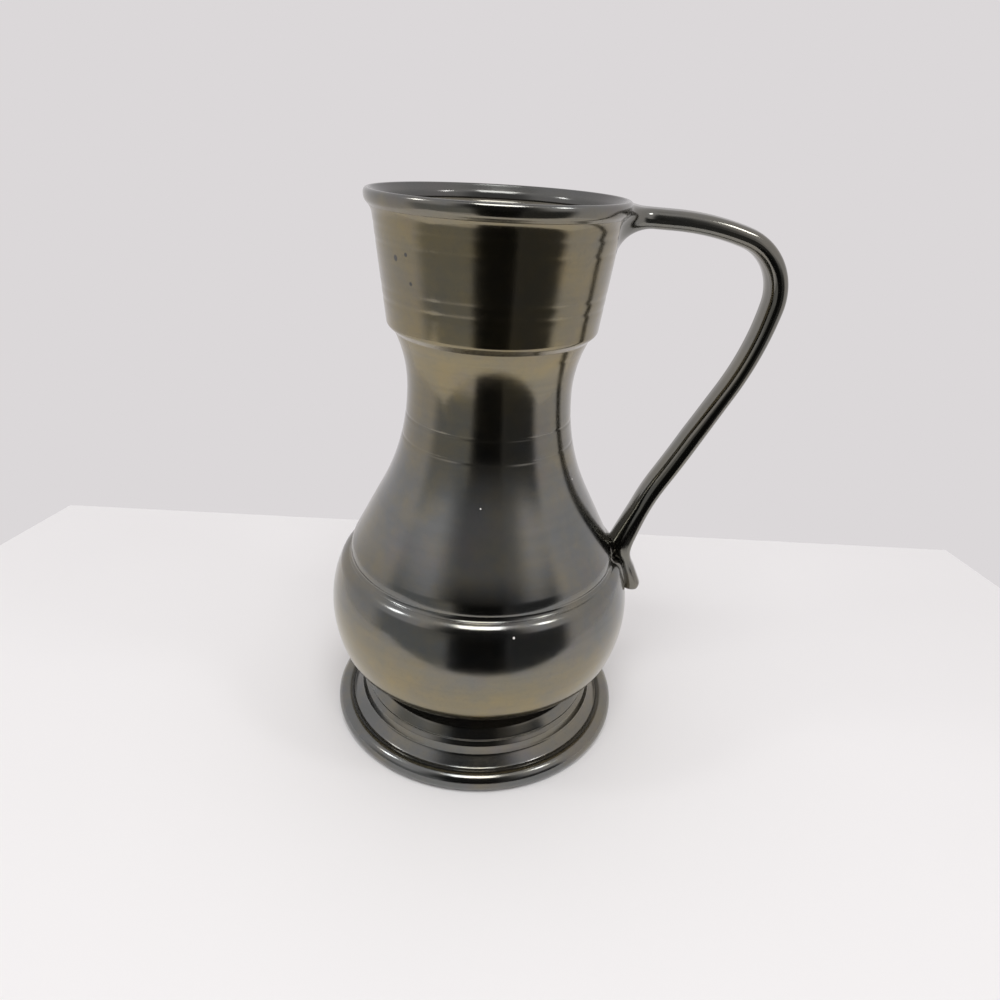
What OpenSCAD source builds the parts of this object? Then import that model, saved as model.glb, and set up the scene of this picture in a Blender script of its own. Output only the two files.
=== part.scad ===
// Lustre-glazed ceramic pitcher
// Thrown clay sections are luted together at rebated seats, and a strap handle is luted to rim and shoulder.
// The jug stands on z = 0 with its axis on Z, and the handle points along +X.

/* [Clay] */
// Thickness of the thrown walls
wall = 4.5; // [3:0.1:6]
// Thickness of the bowl's floor
floor_t = 6; // [4:0.1:9]
// Gap left for slip beside each spigot or tongue
lute_gap = 0.2; // [0.1:0.05:0.4]
// Height of each spigot or tongue
spigot_h = 4; // [2.5:0.1:5]
// Radius of the tool that cuts the decorative lines
line_r = 0.5; // [0.3:0.05:0.8]

/* [Foot] */
// How far the rolled edge lies inside the widest radius of the bowl
foot_inset = 0.4; // [-6:0.1:6]
// Tube radius of the rolled edge
foot_roll = 4.7; // [4:0.1:5.4]
// Height of the tube's centre above the table
roll_lift = 3.6; // [3:0.1:3.9]
// Width of the flat ring that the jug rests on
rest_w = 5; // [3:0.1:7]
// Height of the ledge that carries the bowl
foot_h = 22; // [20:0.1:26]
// Radius of the sharp edge round the ledge
foot_top_r = 54.2; // [52:0.1:57]
// How far the slope under that edge runs out
slope_out = 2.8; // [1.5:0.1:4]
// Height of that slope
slope_h = 4.3; // [3.4:0.1:5]
// Height of the small upright step under it
step_h = 0.9; // [0.5:0.1:1.4]
// How far the second slope runs out
second_out = 1.5; // [0.8:0.1:2.2]
// Height of the second slope
second_h = 1.8; // [1.2:0.1:2.4]
// How far the broad band below it runs out
band_out = 1.1; // [0.5:0.1:1.7]
// Height of that band
band_h = 4.2; // [3.4:0.1:5]
// Radius of the hole in the foot that takes the bowl's spigot
foot_bore_r = 40; // [36:0.1:42]
// Thickness of the ledge round that hole
ledge_t = 6.5; // [5.5:0.1:8]

/* [Bowl] */
// Widest radius of the bowl
belly_r = 72.6; // [68:0.1:78]
// Height of the widest place above the foot
belly_h = 42; // [39:0.1:46]
// Radius of curvature above the widest place
belly_top_curve = 49.2; // [46:0.1:53]
// Radius of curvature below the widest place
belly_low_curve = 60; // [54:0.1:66]
// Radius of curvature where the bowl turns under
belly_under_curve = 20; // [17:0.1:23]
// Radius of the bowl's base on the foot
base_r = 45; // [43:0.1:48]
// Radius of the roll at the shoulder
shoulder_roll = 4.2; // [3.4:0.1:5]
// How far the shoulder stands out from the foot of the bell
shoulder_step = 1.3; // [0.8:0.1:2]
// Radius of the cove cut along the shoulder joint
shoulder_cove_r = 1; // [0.8:0.1:1.4]

/* [Neck] */
// Outside radius of the throat
throat_r = 36.2; // [33:0.1:40]
// Height of the throat above the shoulder joint
throat_h = 82; // [76:0.1:90]
// Radius of curvature below the throat
neck_low_curve = 104; // [96:0.5:112]
// Radius of curvature above the throat
neck_top_curve = 58; // [52:0.5:66]
// Half angle of the bell's straight cone
bell_angle = 27.5; // [25:0.1:30]
// Radius of the roll where the bell meets the shoulder
bell_roll = 12; // [9:0.1:15]
// Height of the bell's widest place above the shoulder joint
bell_roll_h = 2.5; // [1:0.1:4]
// Height of the neck's top above the throat
neck_top_h = 23; // [20:0.1:26]
// Height of the upper line on the neck, below the throat
neck_line_drop = 11.7; // [9:0.1:14]
// Distance between the two lines on the neck
neck_line_gap = 9.9; // [7:0.1:12]

/* [Collar] */
// Radius of the arris at the foot of the collar
collar_low_r = 44.6; // [43:0.1:47]
// Height of the chamfer under the arris
collar_chamfer_h = 5; // [4:0.1:7]
// Radius of the collar at its top
collar_top_r = 50.3; // [49:0.1:52]
// Height of the collar from the neck's top to the rim's seat
collar_h = 50; // [44:0.1:56]
// Depth of the highest line below the rim's seat
collar_line_drop = 6.8; // [5:0.1:9]
// Distance between the two upper lines
upper_line_gap = 5.8; // [4:0.1:8]
// Distance between the upper pair of lines and the lower pair
line_pair_gap = 17.4; // [14:0.1:20]
// Distance between the two lower lines
lower_line_gap = 4.7; // [3:0.1:6]

/* [Rim] */
// Tube radius of the rolled rim
rim_roll_r = 2.7; // [2.3:0.1:3.1]
// How far the roll stands out from the collar
rim_out = 2.6; // [1.8:0.1:3.2]
// Height of the tube's centre above its seat
rim_lift = 3.3; // [3.1:0.1:3.7]
// Width of the tongue that the rim sits over
rim_tongue_w = 1.6; // [1.2:0.1:2]
// Height of that tongue
rim_tongue_h = 1.6; // [1:0.1:2.4]

/* [Handle] */
// Width of the strap
strap_w = 14.5; // [12:0.1:18]
// Thickness of the strap from its root to the end of the bend
strap_t = 8.4; // [6.5:0.1:9.5]
// Thickness of the strap where it reaches the shoulder
heel_t = 5.5; // [4.8:0.1:7]
// Thickness of the strap's tail at its tip
tail_t = 7; // [5.5:0.1:8]
// Height of the seam that runs along each side of the strap
seam_h = 0.4; // [0.2:0.05:0.8]
// Depth of the strap's centre below the rim's seat, where it leaves its root
strap_drop = 0.3; // [-0.5:0.1:2]
// Slope at which the strap leaves its root, in degrees downwards
strap_dip = 2; // [0:0.5:4]
// Radius of the strap's crown
crown_r = 113; // [90:1:130]
// Slope at the end of the crown, in degrees
crown_slope = 17.7; // [14:0.1:21]
// Radius of the bend at the strap's far end
bend_r = 24.6; // [20:0.1:29]
// Slope at the end of the bend, in degrees
bend_slope = 100; // [96:0.5:104]
// Radius of the strap's back below the bend
back_r = 132; // [110:1:150]
// Slope of the straight run, in degrees
run_slope = 117.8; // [114:0.1:121]
// Radius of the curve into the shoulder
heel_r = 100; // [85:1:115]
// Slope where the strap reaches the shoulder, in degrees
heel_slope = 96; // [93:0.5:99]
// Height of that place above the shoulder joint
heel_h = 2.2; // [0:0.1:4]
// Least thickness of clay between the strap and the body, from there down
heel_gap = 0.6; // [0.4:0.1:2]
// Radius of the flick in the tail
tail_r = 20; // [16:0.1:24]
// Slope of the tail's tip, in degrees
tail_slope = 66; // [60:0.5:72]
// Straight length of the tail before its round tip
tail_l = 9; // [7:0.1:12]

/* [Handle roots] */
// How far the upper root stands out from the collar
root_reach = 10.7; // [8:0.1:14]
// Depth of the socket that takes the strap's end
root_socket = 4; // [2:0.1:6]
// Radius of the flares at the sides of the upper root
root_flare = 12; // [9:0.1:14]
// Radius of the web under the upper root
root_web = 9; // [7:0.1:11]
// Width of the lower pad
pad_w = 27; // [22:0.1:32]
// Height of the lower pad
pad_h = 46; // [40:0.1:52]
// Depth of the pad's middle below the shoulder joint
pad_drop = 3; // [0:0.1:6]
// Thickness of the lower pad on the bowl and the neck
pad_t = 2; // [1.5:0.1:4]
// Height of the crotch between strap and neck above the shoulder joint
crotch_h = 12.5; // [10:0.1:15]

/* [Hidden] */
$fn = 96;
arc_steps = 10;
eps = 0.01;
// Angle round the rolled edge at which the foot's side meets it
valley_a = 135;
glaze_dark = [0.24, 0.23, 0.20];
glaze_grey = [0.34, 0.34, 0.33];
glaze_gold = [0.42, 0.38, 0.27];

// Points on an arc round a centre, from one angle to another
function arc(c, r, from, to) =
    [for (i = [0:arc_steps]) let(a = from + (to - from) * i / arc_steps) c + r * [cos(a), sin(a)]];

// A point at a distance and an angle from another
function polar(c, r, a) = c + r * [cos(a), sin(a)];

// Outermost radius of the foot's rolled edge
foot_edge_r = belly_r - foot_inset;

// Foot of the bell: the throat's arc runs into a straight cone, and the cone into a roll
cone_r = throat_r + neck_low_curve * (1 - cos(bell_angle));
cone_h = throat_h - bell_roll_h - neck_low_curve * sin(bell_angle);
bell_c_r = cone_r + (cone_h * sin(bell_angle) - bell_roll) / cos(bell_angle);
bell_foot_r = bell_c_r + sqrt(pow(bell_roll, 2) - pow(bell_roll_h, 2));

// Bowl: arcs that meet at the widest place and run tangent into each other, up to the foot of the bell
belly_z = foot_h + belly_h;
top_c = [belly_r - belly_top_curve, belly_z];
roll_end = 80;
roll_c_r = bell_foot_r + shoulder_step - shoulder_roll * cos(roll_end);
top_end = acos((roll_c_r - top_c[0]) / (belly_top_curve - shoulder_roll));
roll_c = polar(top_c, belly_top_curve - shoulder_roll, top_end);
// Angle up the inside of the bowl at which the wall turns in to the rebate, as a share of the outside's
rebate_share = 0.7;
rebate_a = rebate_share * top_end;
low_c = [belly_r - belly_low_curve, belly_z];
low_end = -19;
under_c = polar(low_c, belly_low_curve - belly_under_curve, low_end);
under_end = -62;
under_p = polar(under_c, belly_under_curve, under_end);
under_in_p = polar(under_c, belly_under_curve - wall, under_end);
base_z = under_p[1] - (under_p[0] - base_r) / tan(-under_end);
floor_z = foot_h + floor_t;
floor_r = under_in_p[0] - (under_in_p[1] - floor_z) * tan(-under_end);
shoulder_p = polar(roll_c, shoulder_roll, roll_end);
shoulder_z = shoulder_p[1];

// Neck: the roll at the shoulder, the cone and two arcs that meet at the throat
throat_z = shoulder_z + throat_h;
low_neck_c = [throat_r + neck_low_curve, throat_z];
top_neck_c = [throat_r + neck_top_curve, throat_z];
bell_c = [bell_c_r, shoulder_z + bell_roll_h];
bell_in = max(bell_roll - wall, eps);
neck_in_r = bell_c[0] + bell_in * cos(asin(min(bell_roll_h / bell_roll, 1)));
tongue_r = (neck_in_r + bell_foot_r) / 2;
collar_z = throat_z + neck_top_h;
neck_top_a = 180 - asin(neck_top_h / neck_top_curve);
neck_top_r = polar(top_neck_c, neck_top_curve, neck_top_a)[0];
neck_bore_r = top_neck_c[0] - sqrt(pow(neck_top_curve + wall, 2) - pow(neck_top_h, 2));
neck_spigot_r = (neck_bore_r + neck_top_r) / 2;

// Collar and rim
rim_z = collar_z + collar_h;
arris_z = collar_z + collar_chamfer_h;
seat_r = collar_top_r - wall / 2;
rim_c = [collar_top_r + rim_out - rim_roll_r, rim_z + rim_lift];
rim_seat_out = [collar_top_r, rim_z];
rim_seat_in = [collar_top_r - wall, rim_z];
// Angle on the rim's tube at which a straight line from a point touches it
function touch_a(p, side) =
    atan2(p[1] - rim_c[1], p[0] - rim_c[0]) + side * acos(rim_roll_r / norm(p - rim_c));
rim_steps = 26;
rim_from = touch_a(rim_seat_out, 1);
rim_to = touch_a(rim_seat_in, -1) + 360;
rim_outline = concat(
    [rim_seat_in, rim_seat_out],
    [for (i = [0:rim_steps]) polar(rim_c, rim_roll_r, rim_from + (rim_to - rim_from) * i / rim_steps)]);
function collar_r(z) = collar_low_r + (collar_top_r - collar_low_r) * (z - arris_z) / (rim_z - arris_z);

// Outlines of the outside, from the base upwards
bowl_outside = concat(
    [[base_r, foot_h], [base_r, base_z]],
    arc(under_c, belly_under_curve, under_end, low_end),
    arc(low_c, belly_low_curve, low_end, 0),
    arc(top_c, belly_top_curve, 0, top_end),
    arc(roll_c, shoulder_roll, top_end, roll_end));
neck_outside = concat(
    arc(bell_c, bell_roll, -asin(bell_roll_h / bell_roll), bell_angle),
    arc(low_neck_c, neck_low_curve, 180 + bell_angle, 180),
    arc(top_neck_c, neck_top_curve, 180, neck_top_a));
collar_outside = [[neck_top_r, collar_z], [collar_low_r, arris_z], [collar_top_r, rim_z]];
// Radius of the body's outside at a height
function outside_r(z) = lookup(z, [for (p = concat(bowl_outside, neck_outside)) [p[1], p[0]]]);

// Handle: a chain of straight runs and turns in the plane y = 0
// A heading is an angle below +X, so a step along it is [cos, -sin]
function ahead(a) = [cos(a), -sin(a)];
function turn(r, from, to) = r * [sin(to) - sin(from), cos(to) - cos(from)];
// A point beside a station, across the strap's thickness
function beside(st, u) = st[0] + u * [sin(st[1]), cos(st[1])];
// Stations along a turn of the strap: a place, a heading and a thickness
turn_step = 6;
function turn_stations(p, r, from, to, t0, t1) =
    let(steps = ceil(abs(to - from) / turn_step))
    [for (i = [1:steps])
        let(k = i / steps, a = from + (to - from) * k)
        [p + turn(r, from, a), a, t0 + (t1 - t0) * k]];
root_x = collar_top_r + root_reach;
strap_start = [root_x - root_socket, rim_z - strap_drop];
// The heel stands off so far that the tail below it clears the body
heel_z = shoulder_z + heel_h;
tail_end = [0, heel_z] + turn(-tail_r, heel_slope, tail_slope) + tail_l * ahead(tail_slope);
tail_run = concat(
    turn_stations([0, heel_z], -tail_r, heel_slope, tail_slope, heel_t, tail_t),
    [[tail_end, tail_slope, tail_t]]);
tail_inside = [for (st = tail_run) beside(st, -st[2] / 2)];
strap_heel = [heel_gap + max([for (p = tail_inside) outside_r(p[1]) - p[0]]), heel_z];
turns = turn(crown_r, strap_dip, crown_slope) + turn(bend_r, crown_slope, bend_slope)
    + turn(back_r, bend_slope, run_slope) + turn(-heel_r, run_slope, heel_slope);
// The two straight runs take up what the turns leave between the two ends
span = strap_heel - strap_start - turns;
spread = cos(strap_dip) * -sin(run_slope) + sin(strap_dip) * cos(run_slope);
top_run = (span[0] * -sin(run_slope) - span[1] * cos(run_slope)) / spread;
back_run = (cos(strap_dip) * span[1] + sin(strap_dip) * span[0]) / spread;
crown_p = strap_start + top_run * ahead(strap_dip);
bend_p = crown_p + turn(crown_r, strap_dip, crown_slope);
back_p = bend_p + turn(bend_r, crown_slope, bend_slope);
run_p = back_p + turn(back_r, bend_slope, run_slope);
heel_p = run_p + back_run * ahead(run_slope);
tail_p = strap_heel + turn(-tail_r, heel_slope, tail_slope);
tip_p = tail_p + tail_l * ahead(tail_slope);

// All stations along the strap
run_t = (strap_t + heel_t) / 2;
stations = concat(
    [[strap_start, strap_dip, strap_t], [crown_p, strap_dip, strap_t]],
    turn_stations(crown_p, crown_r, strap_dip, crown_slope, strap_t, strap_t),
    turn_stations(bend_p, bend_r, crown_slope, bend_slope, strap_t, strap_t),
    turn_stations(back_p, back_r, bend_slope, run_slope, strap_t, run_t),
    [[heel_p, run_slope, heel_t]],
    turn_stations(heel_p, -heel_r, run_slope, heel_slope, heel_t, heel_t),
    turn_stations(strap_heel, -tail_r, heel_slope, tail_slope, heel_t, tail_t));
// The tip is a half round: its slices thin out as they move ahead
tip_steps = 4;
tip_turn = 85;
tip_stations = [for (i = [0:tip_steps])
    let(b = tip_turn * i / tip_steps)
    [tip_p + tail_t / 2 * sin(b) * ahead(tail_slope), tail_slope, tail_t * cos(b)]];

// A ring cut or bead of small round section
module ring(r, z, size) {
    rotate_extrude()
        translate([r, z])
            circle(r = size);
}

// A solid of revolution whose seam lies on the side away from the handle
module turned() {
    rotate(180)
        rotate_extrude()
            children();
}

// Everything inside the outside of bowl and neck, as one solid
module body_core() {
    turned()
        polygon(concat([[0, foot_h]], bowl_outside, neck_outside, [[0, collar_z]]));
}

// Everything inside the outside of collar and rim, as one solid
module mouth_core() {
    turned() {
        polygon(concat([[0, collar_z]], collar_outside, [[0, rim_z]]));
        translate([0, rim_z])
            square([rim_c[0], rim_lift + rim_roll_r]);
        polygon(rim_outline);
    }
}

// One ring of points round the strap: flat faces, round edges and a seam on each edge
sides = 24;
function strap_ring(st) =
    [for (i = [0:sides - 1])
        let(a = 360 * i / sides,
            p = beside(st, st[2] / 2 * cos(a)),
            seam = (abs(cos(a)) < eps) ? seam_h : 0,
            y = st[2] / 2 * sin(a) + sign(sin(a)) * ((strap_w - strap_t) / 2 + seam))
        [p[0], y, p[1]]];

// The strap, swept through all its stations
module strap() {
    rings = [for (st = concat(stations, tip_stations)) strap_ring(st)];
    last = len(rings) - 1;
    polyhedron(
        points = [for (ring = rings) each ring],
        faces = concat(
            [[for (i = [0:sides - 1]) i]],
            [for (k = [0:last - 1], i = [0:sides - 1])
                let(j = (i + 1) % sides, a = k * sides, b = a + sides)
                each [[a + i, b + i, b + j], [a + i, b + j, a + j]]],
            [[for (i = [0:sides - 1]) last * sides + sides - 1 - i]]));
}

// The straight end of the strap, grown by the gap for slip
module strap_socket() {
    flat = strap_w - strap_t;
    translate([strap_start[0], 0, strap_start[1]])
        rotate([0, 90 + strap_dip, 0])
            linear_extrude(2 * root_socket) {
                square([strap_t + 2 * lute_gap, flat], center = true);
                for (side = [-1, 1])
                    translate([0, side * flat / 2])
                        circle(d = strap_t + 2 * (lute_gap + seam_h));
            }
}

// The strap's outline seen from the side, grown by the gap for slip, across its whole width
module strap_shadow() {
    low = [for (st = concat(stations, tip_stations)) if (st[0][1] < run_p[1]) st];
    width = strap_w + 2 * (seam_h + lute_gap);
    translate([0, width / 2, 0])
        rotate([90, 0, 0])
            linear_extrude(width)
                polygon(concat(
                    [for (st = low) beside(st, st[2] / 2 + lute_gap)],
                    [for (i = [len(low) - 1:-1:0]) beside(low[i], -low[i][2] / 2 - lute_gap)]));
}

// Hollow pedestal with a rolled edge, a stepped side and a bored ledge
module foot_ring() {
    roll_c = [foot_edge_r - foot_roll, roll_lift];
    rest_a = -asin(roll_lift / foot_roll);
    rest_r = polar(roll_c, foot_roll, rest_a)[0];
    valley = polar(roll_c, foot_roll, valley_a);
    upper_p = [foot_top_r + slope_out, foot_h - slope_h];
    lower_p = upper_p + [second_out, -step_h - second_h];
    band_p = lower_p + [band_out, -band_h];
    color(glaze_dark)
        difference() {
            rotate_extrude()
                polygon(concat(
                    [[rest_r - rest_w, 0]],
                    arc(roll_c, foot_roll, rest_a, valley_a),
                    [band_p, lower_p, upper_p - [0, step_h], upper_p],
                    [[foot_top_r, foot_h], [foot_bore_r, foot_h], [foot_bore_r, foot_h - ledge_t],
                     [foot_top_r - wall, foot_h - ledge_t], band_p - [wall, wall / 2],
                     valley - [wall / 2, wall * 0.8]]));
            ring(valley[0], valley[1], line_r);
        }
}

// Round lower body with the floor, a spigot below and a rebate at the top
module bowl() {
    color(glaze_gold)
        difference() {
            rotate_extrude()
                polygon(concat(
                    [[0, floor_z], [0, foot_h], [foot_bore_r - lute_gap - wall, foot_h],
                     [foot_bore_r - lute_gap - wall, foot_h - spigot_h], [foot_bore_r - lute_gap, foot_h - spigot_h],
                     [foot_bore_r - lute_gap, foot_h]],
                    bowl_outside,
                    [[tongue_r + lute_gap, shoulder_z], [tongue_r + lute_gap, shoulder_z - spigot_h],
                     [neck_in_r, shoulder_z - spigot_h]],
                    arc(top_c, belly_top_curve - wall, rebate_a, 0),
                    arc(low_c, belly_low_curve - wall, 0, low_end),
                    arc(under_c, belly_under_curve - wall, low_end, under_end),
                    [[floor_r, floor_z]]));
            ring(bell_foot_r + shoulder_step / 2, shoulder_z, shoulder_cove_r);
        }
}

// Bell that draws in to the throat, with a tongue below and a spigot above
module neck() {
    line_z = throat_z - neck_line_drop;
    color(glaze_grey)
        difference() {
            rotate_extrude()
                polygon(concat(
                    [[neck_in_r, shoulder_z - spigot_h], [tongue_r, shoulder_z - spigot_h],
                     [tongue_r, shoulder_z]],
                    neck_outside,
                    [[neck_spigot_r, collar_z], [neck_spigot_r, collar_z + spigot_h],
                     [neck_bore_r, collar_z + spigot_h]],
                    arc(top_neck_c, neck_top_curve + wall, 180 - asin(neck_top_h / (neck_top_curve + wall)), 180),
                    arc(low_neck_c, neck_low_curve + wall, 180, 180 + bell_angle),
                    [polar(bell_c, bell_in, bell_angle)]));
            ring(bell_foot_r + shoulder_step / 2, shoulder_z, shoulder_cove_r);
            for (z = [line_z, line_z - neck_line_gap])
                ring(low_neck_c[0] - sqrt(pow(neck_low_curve, 2) - pow(throat_z - z, 2)), z, line_r);
        }
}

// Band round the mouth, rebated over the neck's spigot, with a tongue for the rim
module collar() {
    ledge_z = collar_z + spigot_h;
    in_low_r = collar_low_r - wall;
    upper_line_z = rim_z - collar_line_drop;
    lower_line_z = upper_line_z - upper_line_gap - line_pair_gap;
    line_zs = [upper_line_z, upper_line_z - upper_line_gap, lower_line_z, lower_line_z - lower_line_gap];
    color(glaze_gold)
        difference() {
            rotate_extrude()
                polygon(concat(
                    [[neck_spigot_r + lute_gap, collar_z]],
                    collar_outside,
                    [[seat_r + rim_tongue_w / 2, rim_z], [seat_r + rim_tongue_w / 2, rim_z + rim_tongue_h],
                     [seat_r - rim_tongue_w / 2, rim_z + rim_tongue_h], [seat_r - rim_tongue_w / 2, rim_z],
                     rim_seat_in, [in_low_r, arris_z + collar_chamfer_h],
                     [neck_bore_r, ledge_z], [neck_spigot_r + lute_gap, ledge_z]]));
            for (z = line_zs)
                ring(collar_r(z), z, line_r);
        }
}

// Rolled lip that flares out from the collar's top, grooved underneath for the tongue
module rim_roll() {
    groove_w = rim_tongue_w + 2 * lute_gap;
    color(glaze_grey)
        rotate_extrude()
            difference() {
                polygon(rim_outline);
                translate([seat_r - groove_w / 2, rim_z - eps])
                    square([groove_w, rim_tongue_h + eps]);
            }
}

// Bent strap with its tail
module handle_strap() {
    color(glaze_dark)
        strap();
}

// Flared web between the strap's upper end and the mouth
module upper_handle_root() {
    end = strap_start + root_socket * ahead(strap_dip);
    under_z = end[1] - strap_t / 2;
    side_w = strap_w / 2 + root_flare;
    color(glaze_grey)
        difference() {
            intersection() {
                translate([0, 0, under_z - root_web])
                    linear_extrude(strap_t + root_web)
                        difference() {
                            translate([0, -side_w])
                                square([root_x, 2 * side_w]);
                            for (side = [-1, 1])
                                translate([root_x, side * side_w])
                                    circle(r = root_flare);
                        }
                translate([0, side_w, 0])
                    rotate([90, 0, 0])
                        linear_extrude(2 * side_w)
                            difference() {
                                translate([collar_low_r, under_z - root_web])
                                    square([root_x - collar_low_r, strap_t + root_web]);
                                translate([root_x, under_z - root_web])
                                    circle(r = root_web);
                            }
                translate([0, 0, under_z + strap_t])
                    rotate([0, 90, 0])
                        cylinder(r = side_w, h = root_x);
            }
            mouth_core();
            strap_socket();
        }
}

// Leaf-shaped pad on the shoulder, with a web up to the crotch
module lower_handle_pad() {
    leaf_z = shoulder_z - pad_drop;
    leaf_r = (pow(pad_h, 2) + pow(pad_w, 2)) / (4 * pad_w);
    web_w = strap_w - strap_t / 2;
    near = [for (p = concat(bowl_outside, neck_outside)) if (abs(p[1] - leaf_z) < pad_h) p];
    color(glaze_dark)
        difference() {
            union() {
                intersection() {
                    turned()
                        polygon(concat(
                            [for (p = near) p + [pad_t, 0]],
                            [for (i = [len(near) - 1:-1:0]) near[i] - [wall, 0]]));
                    translate([throat_r, 0, leaf_z])
                        rotate([0, 90, 0])
                            linear_extrude(belly_r)
                                intersection_for (side = [-1, 1])
                                    translate([0, side * (leaf_r - pad_w / 2)])
                                        circle(r = leaf_r);
                }
                translate([throat_r, web_w / 2, shoulder_z])
                    rotate([90, 0, 0])
                        linear_extrude(web_w)
                            square([strap_heel[0] - throat_r, crotch_h]);
            }
            body_core();
            strap_shadow();
        }
}

foot_ring();
bowl();
neck();
collar();
rim_roll();
handle_strap();
upper_handle_root();
lower_handle_pad();
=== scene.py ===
"""Looks of a lustre-glazed ceramic pitcher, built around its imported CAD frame."""

import math

import bpy
import numpy as np
from mathutils import Matrix, Vector


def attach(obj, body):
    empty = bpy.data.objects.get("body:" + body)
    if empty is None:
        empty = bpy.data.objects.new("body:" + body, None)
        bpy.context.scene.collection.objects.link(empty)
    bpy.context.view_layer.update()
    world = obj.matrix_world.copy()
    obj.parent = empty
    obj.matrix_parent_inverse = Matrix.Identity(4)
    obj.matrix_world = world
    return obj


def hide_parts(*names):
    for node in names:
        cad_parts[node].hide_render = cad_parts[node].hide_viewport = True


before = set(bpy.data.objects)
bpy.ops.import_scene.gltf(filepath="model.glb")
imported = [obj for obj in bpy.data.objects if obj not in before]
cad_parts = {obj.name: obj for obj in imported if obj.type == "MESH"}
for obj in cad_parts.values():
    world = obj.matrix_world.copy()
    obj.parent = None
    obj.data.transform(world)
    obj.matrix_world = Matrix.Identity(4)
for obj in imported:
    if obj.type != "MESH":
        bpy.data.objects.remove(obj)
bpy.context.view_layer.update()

MM = 0.001
SEGMENTS = 192

# Sizes of the turned clay, in millimetres and degrees. Most are those of the CAD source. The widest lie just
# inside its box, and the shoulder's roll is fitted closer to the photograph
WALL, FLOOR_T = 4.5, 6.0
FOOT_H, FOOT_EDGE_R, FOOT_ROLL, ROLL_LIFT, REST_W = 22.0, 72.17, 4.7, 3.6, 5.0
BELLY_R, BELLY_Z = 72.57, 64.0
BELLY_LOW, BELLY_UNDER, LOW_END, UNDER_END = 60.0, 20.0, -19, -62
BASE_R, SHOULDER_ROLL, ROLL_END = 45.0, 7.0, 70
SHOULDER_R, SHOULDER_Z = 64.0, 88.98
THROAT_R, NECK_LOW, NECK_TOP = 36.2, 104.0, 58.0
BELL_ANGLE, BELL_ROLL, BELL_ROLL_H = 27.5, 12.0, 2.5
THROAT_H, NECK_TOP_H = 82.0, 23.0
COLLAR_LOW_R, CHAMFER_H, COLLAR_H = 44.6, 5.0, 50.0
SPIGOT_IN_R, SPIGOT_OUT_R, SPIGOT_H = 35.3, 39.8, 4.0

# The lip, fitted to the photograph: radii of its arcs, from below to the mouth, and the angles where they meet
LIP_R, LIP_TOP, LIP_DROP = 52.9, 250.0, 2.277
LIP_LOW, LIP_FACE, LIP_HIGH, LIP_EDGE = 3.5, 6.0, 1.8, 1.0
LIP_A = (-45, -12, 8, 60, 150)
LIP_INSIDE, LIP_INSIDE_ROLL, RIM_IN_R = (48.2, 246.6), 4.0, 47.6
COVE_STEP = (-0.82, -0.955)


def polar(c, r, deg):
    a = math.radians(deg)
    return np.array([c[0] + r * math.cos(a), c[1] + r * math.sin(a)])


# Derived places on the outline, as radius and height
bell_sin, bell_cos = math.sin(math.radians(BELL_ANGLE)), math.cos(math.radians(BELL_ANGLE))
cone_r = THROAT_R + NECK_LOW * (1 - bell_cos)
cone_h = THROAT_H - BELL_ROLL_H - NECK_LOW * bell_sin
bell_c_r = cone_r + (cone_h * bell_sin - BELL_ROLL) / bell_cos
bell_foot_r = bell_c_r + math.sqrt(BELL_ROLL**2 - BELL_ROLL_H**2)
arris = np.array([SHOULDER_R, SHOULDER_Z - 0.23])
roll_c = polar(arris, -SHOULDER_ROLL, ROLL_END)
roll_in, roll_up = BELLY_R - roll_c[0], roll_c[1] - BELLY_Z
belly_top = (roll_in**2 + roll_up**2 - SHOULDER_ROLL**2) / (2 * (roll_in - SHOULDER_ROLL))
top_c = np.array([BELLY_R - belly_top, BELLY_Z])
top_end = math.degrees(math.atan2(roll_c[1] - top_c[1], roll_c[0] - top_c[0]))
low_c = np.array([BELLY_R - BELLY_LOW, BELLY_Z])
under_c = polar(low_c, BELLY_LOW - BELLY_UNDER, LOW_END)
under_p = polar(under_c, BELLY_UNDER, UNDER_END)
under_in = polar(under_c, BELLY_UNDER - WALL, UNDER_END)
tan_under = math.tan(math.radians(-UNDER_END))
base_z = under_p[1] - (under_p[0] - BASE_R) / tan_under
floor_z = FOOT_H + FLOOR_T
floor_r = under_in[0] - (under_in[1] - floor_z) * tan_under
throat_z = SHOULDER_Z + THROAT_H
low_neck_c = np.array([THROAT_R + NECK_LOW, throat_z])
top_neck_c = np.array([THROAT_R + NECK_TOP, throat_z])
bell_c = np.array([bell_c_r, SHOULDER_Z + BELL_ROLL_H])
collar_z = throat_z + NECK_TOP_H
neck_top_a = 180 - math.degrees(math.asin(NECK_TOP_H / NECK_TOP))
neck_bore_a = 180 - math.degrees(math.asin(NECK_TOP_H / (NECK_TOP + WALL)))
neck_top_r = polar(top_neck_c, NECK_TOP, neck_top_a)[0]
neck_bore_r = top_neck_c[0] - math.sqrt((NECK_TOP + WALL) ** 2 - NECK_TOP_H**2)
arris_z = collar_z + CHAMFER_H
rim_z = collar_z + COLLAR_H
lip_c = np.array([LIP_R - LIP_FACE, LIP_TOP - LIP_DROP])
lip_low_c = polar(lip_c, LIP_FACE - LIP_LOW, LIP_A[1])
lip_high_c = polar(lip_c, LIP_FACE - LIP_HIGH, LIP_A[2])
lip_edge_c = polar(lip_high_c, LIP_HIGH - LIP_EDGE, LIP_A[3])
lip_low = polar(lip_low_c, LIP_LOW, LIP_A[0])
cove_r, cove_z = lip_low + np.array(COVE_STEP)
rim_in = (RIM_IN_R, cove_z)


def arc(c, r, a0, a1, step=0.7):
    n = max(4, math.ceil(abs(math.radians(a1 - a0)) * r / step))
    a = np.radians(np.linspace(a0, a1, n + 1))
    return np.stack([c[0] + r * np.cos(a), c[1] + r * np.sin(a)], 1)


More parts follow.
